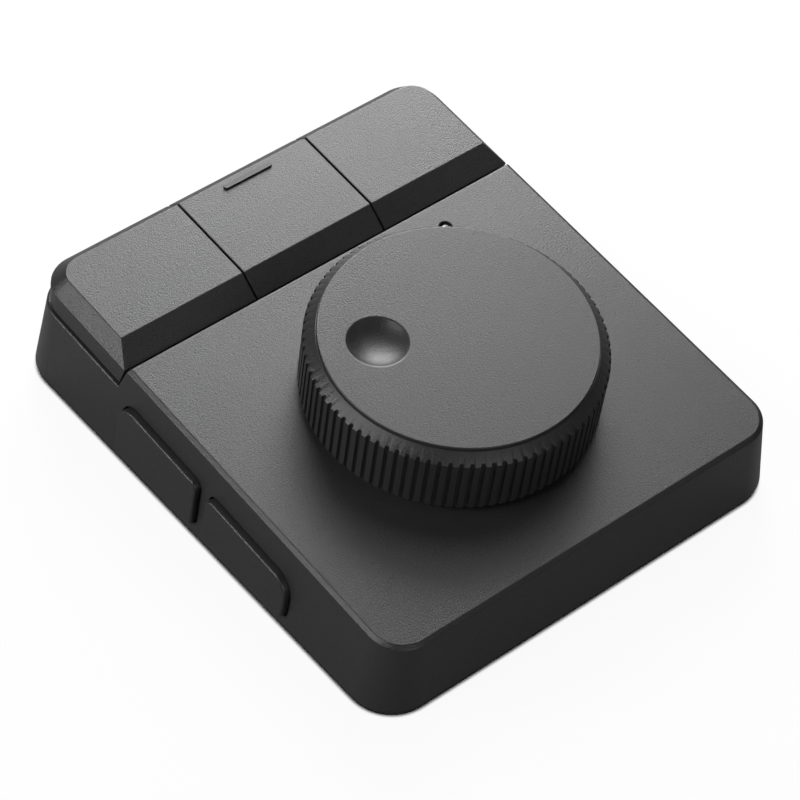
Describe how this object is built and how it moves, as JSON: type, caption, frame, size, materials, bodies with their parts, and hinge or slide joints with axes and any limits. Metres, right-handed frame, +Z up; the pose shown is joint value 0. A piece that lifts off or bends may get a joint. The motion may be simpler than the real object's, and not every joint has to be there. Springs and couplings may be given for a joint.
{
  "type": "macro keypad with dial",
  "caption": "Low sloping desk keypad with a wide knurled dial, a row of short-travel keys behind it and push buttons in the left side wall.",
  "frame": {"origin": "centre of the non-slip pad's underside, on the desk", "axes": "+Z up from the desk, +Y to the back where the keys are, +X to the right, away from the side buttons"},
  "size_m": [0.0891, 0.1024, 0.0355],
  "materials": {
    "case": "fine matt moulded grain",
    "keys": "fine matt moulded grain",
    "dial": "fine matt moulded grain",
    "dark_inlay": "satin",
    "pad": "matt",
    "inner_moulding": "satin",
    "board": "satin lacquer",
    "chip": "matt",
    "switch": "matt",
    "light": "milky, polished",
    "steel": "satin",
    "screw": "blackened",
    "shaft": "turned",
    "pins": "plated"
  },
  "bodies": {
    "case": {"housing": "case", "base_plate": "inner_moulding", "grip_pad": "pad", "case_screws": "screw", "main_board": "board", "board_screws": "screw", "controller_chip": "chip", "board_parts": "chip", "status_led": "light", "light_pipe": "light", "usb_socket": "steel", "usb_tongue": "chip", "key_switches": "switch", "key_spring_left": "steel", "key_spring_middle": "steel", "key_spring_right": "steel", "encoder_base": "switch", "encoder_bush": "steel", "encoder_washer": "steel", "encoder_nut": "steel", "side_switches": "switch", "side_board": "board", "header_block": "chip", "header_pins": "pins"},
    "dial": {"dial_ring": "dial", "dial_top": "dial", "dial_hub": "inner_moulding", "dial_screws": "screw", "encoder_shaft": "shaft"},
    "key_left": {"key_cap_left": "keys", "key_plunger_left": "switch"},
    "key_middle": {"key_cap_middle": "keys", "key_bar": "dark_inlay", "key_plunger_middle": "switch"},
    "key_right": {"key_cap_right": "keys", "key_plunger_right": "switch"},
    "side_back": {"side_button_back": "case", "side_plunger_back": "switch"},
    "side_front": {"side_button_front": "case", "side_plunger_front": "switch"}
  },
  "joints": [
    {"name": "dial_turn", "type": "hinge", "parent": "case", "child": "dial", "pos_m": [0, -0.01292, 0.01906], "axis": [0, -0.0705, 0.9975], "continuous": true},
    {"name": "key_left_press", "type": "slide", "parent": "case", "child": "key_left", "axis": [0, 0.0705, -0.9975], "range_m": [0, 0.0004], "stiffness_N_per_m": 1500, "deforming": ["key_spring_left"]},
    {"name": "key_middle_press", "type": "slide", "parent": "case", "child": "key_middle", "axis": [0, 0.0705, -0.9975], "range_m": [0, 0.0004], "stiffness_N_per_m": 1500, "deforming": ["key_spring_middle"]},
    {"name": "key_right_press", "type": "slide", "parent": "case", "child": "key_right", "axis": [0, 0.0705, -0.9975], "range_m": [0, 0.0004], "stiffness_N_per_m": 1500, "deforming": ["key_spring_right"]},
    {"name": "side_back_press", "type": "slide", "parent": "case", "child": "side_back", "axis": [1, 0, 0], "range_m": [0, 0.00045], "stiffness_N_per_m": 1500},
    {"name": "side_front_press", "type": "slide", "parent": "case", "child": "side_front", "axis": [1, 0, 0], "range_m": [0, 0.00045], "stiffness_N_per_m": 1500}
  ]
}
